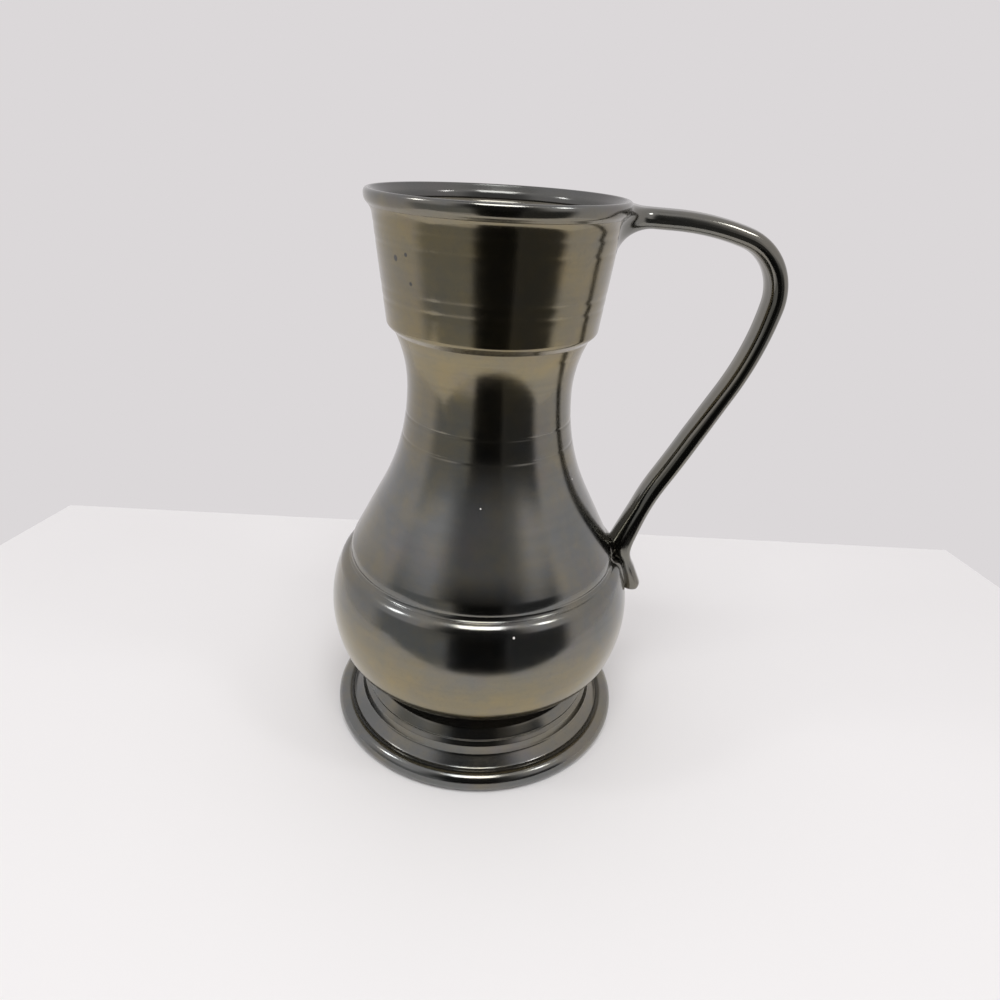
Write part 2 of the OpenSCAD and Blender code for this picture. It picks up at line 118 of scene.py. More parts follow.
def line(p, q, step=1.0):
    p, q = np.asarray(p, float), np.asarray(q, float)
    n = max(1, math.ceil(np.linalg.norm(q - p) / step))
    return p + (q - p) * np.linspace(0, 1, n + 1)[:, None]


def chain(*parts):
    """One list of points from several, without repeats."""
    pts = np.concatenate([np.atleast_2d(np.asarray(p, float)) for p in parts])
    keep = np.ones(len(pts), bool)
    keep[1:] = np.linalg.norm(np.diff(pts, axis=0), axis=1) > 1e-4
    return pts[keep]


def softened(points, radii, step=0.25):
    """A polyline with each inner corner rounded to its radius."""
    pts = [np.asarray(p, float) for p in points]
    out = [pts[0]]
    for i in range(1, len(pts) - 1):
        a, b, c = pts[i - 1], pts[i], pts[i + 1]
        u, v = (a - b) / np.linalg.norm(a - b), (c - b) / np.linalg.norm(c - b)
        half = math.acos(max(-1, min(1, float(u @ v)))) / 2
        r = radii[i]
        if r <= 0 or half > 1.56:
            out.append(b)
            continue
        reach = r / math.tan(half)
        mid = b + (u + v) / np.linalg.norm(u + v) * r / math.sin(half)
        s, e = b + u * reach - mid, b + v * reach - mid
        n = max(3, math.ceil((math.pi - 2 * half) * r / step))
        turn = math.atan2(s[0] * e[1] - s[1] * e[0], s @ e)
        for k in range(n + 1):
            cos, sin = math.cos(turn * k / n), math.sin(turn * k / n)
            out.append(mid + np.array([s[0] * cos - s[1] * sin, s[0] * sin + s[1] * cos]))
    out.append(pts[-1])
    return chain(*[line(out[i], out[i + 1]) for i in range(len(out) - 1)])


def scored(pts, heights, depth=0.14, width=0.7, step=0.2):
    """An outline with soft grooves cut in it at some heights."""
    dense = [pts[0]]
    for p, q in zip(pts[:-1], pts[1:]):
        near = min(abs((p[1] + q[1]) / 2 - z) for z in heights) < 3 * width + 0.6
        n = max(1, math.ceil(np.linalg.norm(q - p) / step)) if near else 1
        dense += [p + (q - p) * k / n for k in range(1, n + 1)]
    dense = np.array(dense)
    for z in heights:
        dense[:, 0] -= depth * np.exp(-(((dense[:, 1] - z) / width) ** 2))
    return dense


def new_object(name, verts, faces, normals=None):
    mesh = bpy.data.meshes.new(name)
    mesh.from_pydata((np.asarray(verts) * MM).tolist(), [], faces)
    mesh.validate()
    mesh.shade_smooth()
    if normals is not None:
        mesh.normals_split_custom_set_from_vertices(np.asarray(normals).tolist())
    obj = bpy.data.objects.new(name, mesh)
    bpy.context.scene.collection.objects.link(obj)
    return obj


def point_values(obj, key, values):
    layer = obj.data.attributes.new(key, "FLOAT", "POINT")
    layer.data.foreach_set("value", values.astype(np.float32))


def grid_faces(n, m):
    """Quads of an open grid of n rows and m columns."""
    return [(i * m + j, i * m + j + 1, (i + 1) * m + j + 1, (i + 1) * m + j)
            for i in range(n - 1) for j in range(m - 1)]


def lathe(name, loop):
    """A closed outline, anticlockwise in radius and height, turned round the Z axis."""
    loop = chain(loop)
    if np.linalg.norm(loop[0] - loop[-1]) < 1e-4:
        loop = loop[:-1]
    verts, rows = [], []
    a = 2 * np.pi * np.arange(SEGMENTS) / SEGMENTS
    for r, z in loop:
        if r < 1e-6:
            rows.append([len(verts)])
            verts.append((0, 0, z))
        else:
            rows.append(list(range(len(verts), len(verts) + SEGMENTS)))
            verts += [(r * math.cos(t), r * math.sin(t), z) for t in a]
    faces = []
    for p, q in zip(rows, rows[1:] + rows[:1]):
        if len(p) == 1 and len(q) == 1:
            continue
        for i in range(SEGMENTS):
            j = (i + 1) % SEGMENTS
            if len(p) == 1:
                faces.append((p[0], q[j], q[i]))
            elif len(q) == 1:
                faces.append((p[i], p[j], q[0]))
            else:
                faces.append((p[i], p[j], q[j], q[i]))
    obj = new_object(name, verts, faces)
    run = np.roll(loop, -1, 0) - np.roll(loop, 1, 0)
    falls = np.clip(-run[:, 1] / np.maximum(np.linalg.norm(run, axis=1), 1e-9), 0, 1)
    point_values(obj, "inside", np.concatenate([np.full(len(row), falls[k]) for k, row in enumerate(rows)]))
    return obj


# Foot: a roll, a valley, two beads and a ledge outside, and a hollow inside
ROLL_STOP, VALLEY_A = 131, 135
FOOT_BEADS = [(59.6, 10.8), (58.5, 15.0), (57.0, 16.8), (57.0, 17.7), (54.2, FOOT_H), (45.2, FOOT_H)]
FOOT_HOLLOW = [(45.2, FOOT_H), (40.0, FOOT_H), (40.0, 15.5), (49.7, 15.5), (55.1, 8.55), (61.9, 3.3)]
foot_c = np.array([FOOT_EDGE_R - FOOT_ROLL, ROLL_LIFT])
rest_a = -math.degrees(math.asin(ROLL_LIFT / FOOT_ROLL))
rest_r = polar(foot_c, FOOT_ROLL, rest_a)[0]
foot_out = chain(
    arc(foot_c, FOOT_ROLL, rest_a, ROLL_STOP, step=0.3),
    softened([polar(foot_c, FOOT_ROLL, ROLL_STOP), polar(foot_c, FOOT_ROLL, VALLEY_A)] + FOOT_BEADS,
             [0, 0.2, 2.2, 0.7, 0.5, 0.4, 0.35, 0], step=0.1))
foot_under = softened(FOOT_HOLLOW + [(rest_r - REST_W, 0), (rest_r, 0)], [0, 0.6, 0.6, 1.5, 2, 1, 0.5, 0])

# Bowl, up to the cove where the bell stands on its shoulder
COVE_ROLL, COVE_TOP_A, COVE_END_A = 2.4, -8, 236
BOWL_SEAT_R, BASE_LIFT = 58.5, 0.05
cove_top = np.array([bell_c[0] + BELL_ROLL - 0.02, bell_c[1] + 0.07])
shoulder_cove_c = polar(cove_top, COVE_ROLL, COVE_TOP_A)
cove_end = polar(shoulder_cove_c, COVE_ROLL, COVE_END_A)
seat_z = cove_end[1] - 0.4
bowl_out = chain(
    line((BASE_R, FOOT_H + BASE_LIFT), (BASE_R, base_z)),
    arc(under_c, BELLY_UNDER, UNDER_END, LOW_END),
    arc(low_c, BELLY_LOW, LOW_END, 0),
    arc(top_c, belly_top, 0, top_end),
    arc(roll_c, SHOULDER_ROLL, top_end, ROLL_END - 3, step=0.3),
    softened([polar(roll_c, SHOULDER_ROLL, ROLL_END - 3), arris, cove_end], [0, 0.3, 0], step=0.06),
    (BOWL_SEAT_R, seat_z))
bowl_in = chain(
    (BOWL_SEAT_R, SHOULDER_Z - 4.0),
    arc(top_c, belly_top - WALL, 20, 0),
    arc(low_c, BELLY_LOW - WALL, 0, LOW_END),
    arc(under_c, BELLY_UNDER - WALL, LOW_END, UNDER_END),
    line((floor_r, floor_z), (0, floor_z), step=4),
    line((0, FOOT_H), (SPIGOT_IN_R, FOOT_H), step=6),
    (SPIGOT_IN_R, FOOT_H - SPIGOT_H), (SPIGOT_OUT_R, FOOT_H - SPIGOT_H), (SPIGOT_OUT_R, FOOT_H + BASE_LIFT))

# Neck, with two faint turning lines under its throat
NECK_LINES = (11.7, 21.6)
NECK_SEAT, NECK_DROP, TOP_LIFT = 3.0, 3.9, 0.02
neck_out = chain(
    (bell_foot_r - NECK_SEAT, seat_z), (cove_end[0] - 0.3, cove_end[1] - 0.2),
    arc(shoulder_cove_c, COVE_ROLL, COVE_END_A - 1, 181 + COVE_TOP_A, step=0.12),
    arc(bell_c, BELL_ROLL, 2, BELL_ANGLE, step=0.4),
    arc(low_neck_c, NECK_LOW, 180 + BELL_ANGLE, 180, step=0.9),
    arc(top_neck_c, NECK_TOP, 180, neck_top_a))
neck_out = scored(neck_out, [throat_z - drop for drop in NECK_LINES])
neck_in = chain(
    (neck_top_r - 2, collar_z + TOP_LIFT), (neck_bore_r, collar_z + TOP_LIFT),
    arc(top_neck_c, NECK_TOP + WALL, neck_bore_a, 180),
    arc(low_neck_c, NECK_LOW + WALL, 180, 180 + BELL_ANGLE, step=1.5),
    polar(bell_c, BELL_ROLL - WALL, BELL_ANGLE),
    (bell_c[0] + 7.3, SHOULDER_Z - NECK_DROP), (bell_foot_r - NECK_SEAT, SHOULDER_Z - NECK_DROP))

# Collar, with two pairs of incised lines, and the lip
COLLAR_LINES, LINE_DEPTH, LINE_W = (6.8, 12.6, 30.0, 34.7), 0.11, 1.1
collar_out = softened(
    [(neck_top_r - 3.0, collar_z - 5.0), (39.0, collar_z - 5.0), (neck_top_r - 0.37, collar_z - 1.0),
     (neck_top_r + 0.7, collar_z + 1.5), (COLLAR_LOW_R + 0.1, collar_z + 4.3),
     (cove_r - 1.06, cove_z - 1.515), (cove_r, cove_z)],
    [0, 0, 0, 1.0, 3.0, 7.0, 0], step=0.12)
collar_out = scored(collar_out, [rim_z - drop for drop in COLLAR_LINES], LINE_DEPTH, LINE_W)
collar_bore = (COLLAR_LOW_R - WALL, arris_z + CHAMFER_H)
collar_in = chain(
    rim_in, line(rim_in, collar_bore, step=2), line(collar_bore, (neck_bore_r, collar_z + 4)),
    (neck_bore_r, collar_z + TOP_LIFT))
lip_edge = arc(lip_edge_c, LIP_EDGE, LIP_A[3], LIP_A[4], step=0.12)
rim_loop = chain(
    rim_in, (cove_r, cove_z), line((cove_r, cove_z), lip_low, step=0.3),
    arc(lip_low_c, LIP_LOW, LIP_A[0], LIP_A[1], step=0.15),
    arc(lip_c, LIP_FACE, LIP_A[1], LIP_A[2], step=0.2),
    arc(lip_high_c, LIP_HIGH, LIP_A[2], LIP_A[3], step=0.12),
    softened([*lip_edge, LIP_INSIDE, rim_in], [0] * len(lip_edge) + [LIP_INSIDE_ROLL, 0], step=0.2))

foot = lathe("foot_ring_glazed", chain(foot_out, foot_under))
bowl = lathe("bowl_glazed", chain(bowl_out, bowl_in))
neck = lathe("neck_glazed", chain(neck_out, neck_in))
collar = lathe("collar_glazed", chain(collar_out, collar_in))
rim = lathe("rim_roll_glazed", rim_loop)

wall_pts = chain(bowl_out[bowl_out[:, 0] > BASE_R - 0.1], neck_out, collar_out)
wall_pts = wall_pts[np.argsort(wall_pts[:, 1], kind="stable")]
mouth_pts = chain(collar_out[collar_out[:, 1] > arris_z], rim_loop[1:])
mouth_pts = mouth_pts[:int(np.argmax(mouth_pts[:, 1])) + 1]


def outside_r(z):
    """Radius of the outside of bowl, neck and collar at a height."""
    return np.interp(z, wall_pts[:, 1], wall_pts[:, 0])


def mouth_r(z):
    """Radius of the outside of collar and rim at heights, with the cove under the lip smoothed over."""
    near = np.linspace(-2.5, 2.5, 21)
    weight = np.exp(-((near / 1.4) ** 2))
    radii = np.interp(np.asarray(z, float)[..., None] + near, mouth_pts[:, 1], mouth_pts[:, 0])
    return (radii * weight).sum(-1) / weight.sum()


# Handle: a chain of straight runs and turns in the plane y = 0, with most values as in the CAD source
STRAP_W, STRAP_T, HEEL_T, TAIL_T = 14.5, 8.36, 5.5, 7.0
STRAP_DIP, CROWN_R, CROWN_SLOPE, BEND_R, BEND_SLOPE = 2.0, 113.0, 17.7, 24.6, 100.0
BACK_R, RUN_SLOPE, HEEL_R, HEEL_SLOPE = 132.0, 117.8, 100.0, 96.0
TAIL_R, TAIL_SLOPE, TAIL_L = 20.0, 66.0, 9.0
HEEL_UP, HEEL_GAP = 2.2, -0.7
ROOT_X, ROOT_R = 50.3, 12.5
strap_start = np.array([57.0, rim_z - 0.3])


def ahead(deg):
    return np.array([math.cos(math.radians(deg)), -math.sin(math.radians(deg))])


def turned(r, a0, a1):
    a0, a1 = math.radians(a0), math.radians(a1)
    return r * np.array([math.sin(a1) - math.sin(a0), math.cos(a1) - math.cos(a0)])


def across(p, deg, u):
    """A point beside a place on the strap, across its thickness."""
    return p + u * np.array([math.sin(math.radians(deg)), math.cos(math.radians(deg))])


# The heel stands where the inner side of the tail sinks into the shoulder by HEEL_GAP
heel_z = SHOULDER_Z + HEEL_UP
tail_run = []
for k in np.linspace(0.2, 1, 5):
    slope = HEEL_SLOPE + (TAIL_SLOPE - HEEL_SLOPE) * k
    place = np.array([0, heel_z]) + turned(-TAIL_R, HEEL_SLOPE, slope)
    tail_run.append((place, slope, HEEL_T + (TAIL_T - HEEL_T) * k))
tail_run.append((tail_run[-1][0] + TAIL_L * ahead(TAIL_SLOPE), TAIL_SLOPE, TAIL_T))
tail_inside = [across(p, a, -t / 2) for p, a, t in tail_run]
heel = np.array([HEEL_GAP + max(float(outside_r(q[1])) - q[0] for q in tail_inside), heel_z])
all_turns = (turned(CROWN_R, STRAP_DIP, CROWN_SLOPE) + turned(BEND_R, CROWN_SLOPE, BEND_SLOPE)
             + turned(BACK_R, BEND_SLOPE, RUN_SLOPE) + turned(-HEEL_R, RUN_SLOPE, HEEL_SLOPE))
span = heel - strap_start - all_turns
top_run, back_run = np.linalg.solve(np.stack([ahead(STRAP_DIP), ahead(RUN_SLOPE)], 1), span)

root_end = ROOT_X + ROOT_R
mid_t = (STRAP_T + HEEL_T) / 2
legs = [("run", strap_start[0] + top_run - root_end, STRAP_DIP, STRAP_T, STRAP_T),
        ("turn", CROWN_R, CROWN_SLOPE, STRAP_T, STRAP_T),
        ("turn", BEND_R, BEND_SLOPE, STRAP_T, STRAP_T),
        ("turn", BACK_R, RUN_SLOPE, STRAP_T, mid_t),
        ("run", back_run, RUN_SLOPE, mid_t, HEEL_T),
        ("turn", -HEEL_R, HEEL_SLOPE, HEEL_T, HEEL_T),
        ("turn", -TAIL_R, TAIL_SLOPE, HEEL_T, TAIL_T),
        ("run", TAIL_L, TAIL_SLOPE, TAIL_T, TAIL_T)]
here = strap_start + (root_end - strap_start[0]) / math.cos(math.radians(STRAP_DIP)) * ahead(STRAP_DIP)
heading = STRAP_DIP
stations = [(here, heading, STRAP_T)]
for kind, extent, to, t0, t1 in legs:
    if kind == "run":
        n = max(1, math.ceil(extent / 1.5))
        for k in range(1, n + 1):
            stations.append((here + extent * k / n * ahead(heading), heading, t0 + (t1 - t0) * k / n))
        here = here + extent * ahead(heading)
    else:
        n = max(2, math.ceil(abs(math.radians(to - heading) * extent) / 1.3))
        for k in range(1, n + 1):
            a = heading + (to - heading) * k / n
            stations.append((here + turned(extent, heading, a), a, t0 + (t1 - t0) * k / n))
        here = here + turned(extent, heading, to)
        heading = to

# Where the hand-pulled strap bows out along its run and tucks in at the heel: height, spread and amount
SWAY = ((138, 26, 1.0), (93, 8, -0.9))


def sway(z):
    return sum(amount * math.exp(-(((z - mid) / spread) ** 2)) for mid, spread, amount in SWAY)


stations = [(p + np.array([sway(p[1]), 0.0]), a, t) for p, a, t in stations]

# Section of the strap: flat faces with a low crown, round edges and a fine seam left by the mould on each edge
SEAM_H, SEAM_W = 0.05, 5.0
CROWN = 0.07
flat_share = (STRAP_W - STRAP_T) / STRAP_W
edge_a = np.concatenate([np.linspace(90, 13, 14), np.linspace(10.5, -10.5, 15), np.linspace(-13, -90, 14)])
flat_v = np.linspace(-1, 1, 9)[1:-1]
edge_u = np.sin(np.radians(edge_a)) * (1 - CROWN)
edge_y = flat_share + (1 - flat_share) * np.cos(np.radians(edge_a))
flat_u = 1 - CROWN * flat_v**2
flat_y = flat_v * flat_share
sec_u = np.concatenate([flat_u[3:], edge_u, -flat_u, edge_u[::-1], flat_u[:3]])
sec_y = np.concatenate([flat_y[3:], edge_y, -flat_y, -edge_y[::-1], flat_y[:3]])
edge_seam = SEAM_H * np.exp(-((edge_a / SEAM_W) ** 2))
no_seam = np.zeros(len(flat_v))
seam = np.concatenate([no_seam[3:], edge_seam, no_seam, -edge_seam[::-1], no_seam[:3]])

# The strap's inner edge: full thickness from INNER_Z down, and straight on below EDGE_Z into the bell
INNER_MORE, INNER_Z, INNER_FADE = 0.3, 200, 50
EDGE_Z, EDGE_TURN, SINK, INNER_MOST = 113, 5.0, 1.2, 12.0
edge_p, edge_deg, edge_t = min(stations, key=lambda place: abs(place[0][1] - EDGE_Z))
edge_in = across(edge_p, edge_deg, edge_t / 2 - STRAP_T - INNER_MORE)
edge_out = across(np.zeros(2), edge_deg + EDGE_TURN, 1.0)


def inner_half(p, deg, thick):
    """Half thickness towards the jug."""
    full = STRAP_T + INNER_MORE - thick / 2
    if p[1] >= edge_p[1]:
        return thick / 2 + (full - thick / 2) * min(1.0, max(0.0, (INNER_Z - p[1]) / INNER_FADE))
    reach = thick / 2
    for _ in range(12):
        q = across(p, deg, -reach)
        reach += 0.8 * (q[0] - float(outside_r(max(q[1], 60.0))))
    to_edge = (p - edge_in).dot(edge_out) / across(np.zeros(2), deg, 1.0).dot(edge_out)
    return max(thick / 2, min(to_edge, reach + SINK, INNER_MOST))


def strap_ring(p, deg, thick, width=STRAP_W, seam_k=1.0, inner=None):
    a = math.radians(deg)
    inner = inner_half(p, deg, thick) if inner is None else inner
    u = np.where(sec_u > 0, sec_u * thick / 2, sec_u * inner)
    y = sec_y * width / 2 + seam * seam_k
    return np.stack([p[0] + u * math.sin(a), y, p[1] + u * math.cos(a)], 1)


ROOT_SINK, ROOT_LIFT, LIFT_REACH, LIFT_BACK = -0.8, 2.6, 10.0, 2.0
FLARE_DOWN, FLARE_SIDE = 0.92, 0.95


def root_ring(d):
    """The flared root at a distance outside the collar."""
    k = max(0.0, min(1.0, 1 - d / ROOT_R))
    flare = ROOT_R * (1 - math.sqrt(1 - k * k))
    top_k = max(0.0, min(1.0, 1 - (d + LIFT_BACK) / LIFT_REACH))
    lift = ROOT_LIFT * (1 - math.sqrt(1 - top_k * top_k))
    mid = strap_start[1] + (strap_start[0] - ROOT_X - d) * math.tan(math.radians(STRAP_DIP))
    up, down = STRAP_T / 2 + lift, STRAP_T / 2 + flare * FLARE_DOWN
    u = np.where(sec_u > 0, sec_u * up, sec_u * down)
    y = sec_y * (STRAP_W / 2 + flare * FLARE_SIDE) + seam * (1 - k)
    z = np.minimum(mid + u, LIP_TOP - 0.05)
    wall_x = np.sqrt(np.maximum(mouth_r(z) ** 2 - y**2, 1.0))
    m = (1 - k) ** 2 * (3 - 2 * (1 - k))
    x = (1 - m) * (wall_x + d) + m * (ROOT_X + d)
    return np.stack([x, y, z], 1)


TIP_STEPS, TIP_TURN, TIP_NARROW = 8, 84, 5.0
root_curve = ROOT_R * (1 - np.cos(np.linspace(0.12, np.pi / 2, 22)))
root_rows = [root_ring(d) for d in np.concatenate([np.linspace(ROOT_SINK, 0, 4), root_curve[:-1]])]
tip_p, tip_a = stations[-1][0], stations[-1][1]
tip_in = inner_half(tip_p, tip_a, TAIL_T)
tip_rows = []
for k in range(1, TIP_STEPS + 1):
    b = math.radians(TIP_TURN * k / TIP_STEPS)
    tip_rows.append(strap_ring(tip_p + TAIL_T / 2 * math.sin(b) * ahead(tip_a), tip_a, TAIL_T * math.cos(b),
                               STRAP_W - TIP_NARROW * (1 - math.cos(b)), math.cos(b), tip_in * math.cos(b)))
handle_rows = np.array(root_rows + [strap_ring(*s) for s in stations] + tip_rows)
around = np.roll(handle_rows, -1, 1) - np.roll(handle_rows, 1, 1)
handle_normals = np.cross(around, np.gradient(handle_rows, axis=0))
handle_normals /= np.maximum(np.linalg.norm(handle_normals, axis=2, keepdims=True), 1e-12)


def swept(name, first, last):
    """A stretch of the handle, closed at both ends, with the normals of the whole."""
    P, N = handle_rows[first:last + 1], handle_normals[first:last + 1]
    n, m = P.shape[:2]
    faces = [(i * m + j, i * m + (j + 1) % m, (i + 1) * m + (j + 1) % m, (i + 1) * m + j)
             for i in range(n - 1) for j in range(m)]
    verts, norms = list(P.reshape(-1, 3)), list(N.reshape(-1, 3))
    for row, flip in ((0, True), (n - 1, False)):
        centre = len(verts)
        verts.append(P[row].mean(0))
        out = np.cross(P[row][m // 4] - P[row][0], P[row][m // 2] - P[row][0])
        norms.append(out / np.linalg.norm(out))
        for j in range(m):
            a, b = row * m + j, row * m + (j + 1) % m
            faces.append((b, a, centre) if flip else (a, b, centre))
    return new_object(name, np.array(verts), faces, np.array(norms))


split = len(root_rows)
root = swept("upper_handle_root_glazed", 0, split)
strap = swept("handle_strap_glazed", split, len(handle_rows) - 1)

# Pad: a leaf of clay smeared over the shoulder, wider than the strap's heel
LEAF_Z, LEAF_H, LEAF_W, PAD_T = SHOULDER_Z - 2.0, 40.0, 25.0, 2.2
PAD_EDGE, PAD_BACK, FADE_TOP, FADE_H = 0.3, 2.0, 12.0, 6.0
PAD_ROWS, PAD_COLS = 72, 41
leaf_r = (LEAF_H**2 + LEAF_W**2) / (4 * LEAF_W)
front, behind = [], []
for z in np.linspace(LEAF_Z - LEAF_H / 2, LEAF_Z + LEAF_H / 2, PAD_ROWS):
    half = max(math.sqrt(leaf_r**2 - (z - LEAF_Z) ** 2) - leaf_r + LEAF_W / 2, 0.05)
    base = float(outside_r(z))
    fade = min(1.0, max(0.0, (SHOULDER_Z + FADE_TOP - z) / FADE_H))
    for v in np.linspace(-1, 1, PAD_COLS):
        y = v * half
        h = PAD_T * fade * min(1.0, half / 5.0) * (1 - abs(v) ** 2.6) ** 0.8 - PAD_EDGE
        x = math.sqrt(base**2 - y**2)
        front.append((x + h, y, z))
        behind.append((x - PAD_BACK, y, z))
n, m = PAD_ROWS, PAD_COLS
sheet = grid_faces(n, m)
border = (list(range(m)) + [i * m + m - 1 for i in range(1, n)]
          + [(n - 1) * m + j for j in range(m - 2, -1, -1)] + [i * m for i in range(n - 2, 0, -1)])
pad_faces = sheet + [tuple(n * m + i for i in reversed(f)) for f in sheet]
pad_faces += [(b, a, n * m + a, n * m + b) for a, b in zip(border, border[1:] + border[:1])]
pad = new_object("lower_handle_pad_glazed", np.array(front + behind), pad_faces)


# Materials
def node(tree, kind, **settings):
    n = tree.nodes.new(kind)
    for key, value in settings.items():
        setattr(n, key, value)
    return n


def math_node(tree, op, a, b, clamp=False):
    n = node(tree, "ShaderNodeMath", operation=op, use_clamp=clamp)
    for i, v in enumerate((a, b)):
        if isinstance(v, (int, float)):
            n.inputs[i].default_value = v
        else:
            tree.links.new(v, n.inputs[i])
    return n.outputs[0]


def noise(tree, vector, scale, detail, rough, stretch=None, distortion=0.0):
    if stretch is not None:
        m = node(tree, "ShaderNodeMapping")
        m.inputs["Scale"].default_value = stretch
        tree.links.new(vector, m.inputs["Vector"])
        vector = m.outputs[0]
    n = node(tree, "ShaderNodeTexNoise")
    n.inputs["Scale"].default_value = scale
    n.inputs["Detail"].default_value = detail
    n.inputs["Roughness"].default_value = rough
    n.inputs["Distortion"].default_value = distortion
    tree.links.new(vector, n.inputs["Vector"])
    return n.outputs["Fac"]


def mix_color(tree, fac, a, b):
    n = node(tree, "ShaderNodeMix", data_type="RGBA")
    tree.links.new(fac, n.inputs["Factor"])
    for key, v in (("A", a), ("B", b)):
        socket = [s for s in n.inputs if s.name == key and s.type == "RGBA"][0]
        if isinstance(v, tuple):
            socket.default_value = (*v, 1)
        else:
            tree.links.new(v, socket)
    return [s for s in n.outputs if s.type == "RGBA"][0]


def attribute(tree, key):
    return node(tree, "ShaderNodeAttribute", attribute_name=key).outputs["Fac"]


def spots(tree, vector, marks, wobble):
    """A mask that is 1 inside small spots given as place and radius in millimetres."""
    total = None
    for place, radius in marks:
        d = node(tree, "ShaderNodeVectorMath", operation="DISTANCE")
        tree.links.new(vector, d.inputs[0])
        d.inputs[1].default_value = tuple(c * MM for c in place)
        ragged = math_node(tree, "MULTIPLY", wobble, radius * MM * 0.5)
        near = node(tree, "ShaderNodeMapRange", interpolation_type="SMOOTHSTEP")
        tree.links.new(math_node(tree, "ADD", d.outputs["Value"], ragged), near.inputs["Value"])
        near.inputs["From Min"].default_value = radius * MM * 1.15
        near.inputs["From Max"].default_value = radius * MM * 0.85
        mask = near.outputs[0]
        total = mask if total is None else math_node(tree, "MAXIMUM", total, mask)
    return total


def height_ramp(tree, height, levels):
    """A value by height, from pairs of height in millimetres and value."""
    ramp = node(tree, "ShaderNodeValToRGB")
    tree.links.new(height, ramp.inputs[0])
    stops = ramp.color_ramp.elements
    while len(stops) < len(levels):
        stops.new(0.5)
    for stop, (z, g) in zip(stops, levels):
        stop.position = z / LIP_TOP
        stop.color = (g, g, g, 1)
    return ramp.outputs[0]


BRONZE, PALE_BRONZE = (0.265, 0.235, 0.15), (0.32, 0.25, 0.12)
PEWTER, PALE_PEWTER = (0.16, 0.168, 0.158), (0.195, 0.198, 0.2)
VIOLET_GREY = (0.20, 0.172, 0.18)
STREAK_GREY, SPECK_GREY = (0.10, 0.10, 0.095), (0.12, 0.115, 0.10)
# The two dark colours on the next line are painted shade: one for the inside of the vessel, one for the
# crevice between bowl and foot
INSIDE_PAINTED_SHADE, CREVICE_PAINTED_SHADE = (0.03, 0.03, 0.03), (0.02, 0.02, 0.02)
BARE_CLAY = (0.82, 0.80, 0.76)


def lustre(name, gold_by_height, gold_gain, rough, chips=(), smudges=(), haze=(), crevice_shade=(),
           streak_scale=(9, 9, 420)):
    """Gunmetal lustre glaze: pewter grey that turns to bronze in soft mottles."""
    mat = bpy.data.materials.new(name)
    mat.use_nodes = True
    t = mat.node_tree
    t.nodes.clear()

    def add(a, b, clamp=False):
        return math_node(t, "ADD", a, b, clamp)

    def less(a, b, clamp=False):
        return math_node(t, "SUBTRACT", a, b, clamp)

    def times(a, b, clamp=False):
        return math_node(t, "MULTIPLY", a, b, clamp)

    out = node(t, "ShaderNodeOutputMaterial")
    shader = node(t, "ShaderNodeBsdfPrincipled")
    t.links.new(shader.outputs[0], out.inputs["Surface"])
    place = node(t, "ShaderNodeTexCoord").outputs["Object"]
    xyz = node(t, "ShaderNodeSeparateXYZ")
    t.links.new(place, xyz.inputs[0])
    height = times(xyz.outputs["Z"], 1 / (LIP_TOP * MM))
    inside = attribute(t, "inside")
    broad = noise(t, place, 26, 4, 0.6, (1, 1, 1.5), 0.5)
    fine = noise(t, place, 150, 4, 0.65)
    grain = noise(t, place, 900, 2, 0.6)
    streak = noise(t, place, 1, 3, 0.55, streak_scale)
    patch = noise(t, place, 60, 3, 0.6, (1, 1, 0.8), 0.8)
    violet = noise(t, place, 48, 3, 0.6, (1, 1, 0.7))

    # Colour: bronze by height and in mottles, then violet, streaks and specks over it, then painted shade
    # inside the vessel and in the crevice under the bowl
    gold = add(height_ramp(t, height, gold_by_height), times(less(broad, 0.5), gold_gain))
    gold = add(gold, times(less(fine, 0.5), gold_gain * 0.45), clamp=True)
    gold = times(gold, less(1.0, times(inside, 0.85)))
    deep = mix_color(t, patch, BRONZE, PALE_BRONZE)
    cool = mix_color(t, patch, PEWTER, PALE_PEWTER)
    color = mix_color(t, gold, cool, deep)
    color = mix_color(t, times(less(violet, 0.55, clamp=True), 1.6, clamp=True), color, VIOLET_GREY)
    color = mix_color(t, times(less(streak, 0.42, clamp=True), 0.4, clamp=True), color, STREAK_GREY)
    color = mix_color(t, times(less(grain, 0.56, clamp=True), 1.3, clamp=True), color, SPECK_GREY)
    if smudges:
        color = mix_color(t, spots(t, place, smudges, fine), color, STREAK_GREY)
    # Painted shade: the inner walls are mixed halfway towards near black, for the shade inside the mouth and
    # bowl
    color = mix_color(t, times(inside, 0.5), color, INSIDE_PAINTED_SHADE)
    # Painted shade: darker by height in the crevice where the bowl sits on the foot, and on the bowl's
    # underside just above it
    if crevice_shade:
        color = mix_color(t, height_ramp(t, height, crevice_shade), color, CREVICE_PAINTED_SHADE)

    gloss = add(add(times(fine, 0.12), times(streak, 0.08)), rough - 0.1)
    metal = less(1.0, times(inside, 0.4))
    if haze:
        near_front = less(2.25, times(xyz.outputs["X"], 50.0), clamp=True)
        metal = less(metal, times(height_ramp(t, height, haze), near_front))
    if chips:
        bare = spots(t, place, chips, fine)
        color = mix_color(t, bare, color, BARE_CLAY)
        gloss = math_node(t, "MAXIMUM", gloss, times(bare, 0.8))
        metal = less(metal, bare, clamp=True)
    t.links.new(metal, shader.inputs["Metallic"])
    t.links.new(color, shader.inputs["Base Color"])
    t.links.new(gloss, shader.inputs["Roughness"])
    shader.inputs["Coat Weight"].default_value = 0.25
    shader.inputs["Coat Roughness"].default_value = 0.1
    bump = node(t, "ShaderNodeBump")
    bump.inputs["Strength"].default_value = 0.25
    bump.inputs["Distance"].default_value = 0.0002
    rise = add(add(times(streak, 0.25), times(fine, 0.5)), times(grain, 0.06))
    t.links.new(rise, bump.inputs["Height"])
    t.links.new(bump.outputs[0], shader.inputs["Normal"])
    return mat


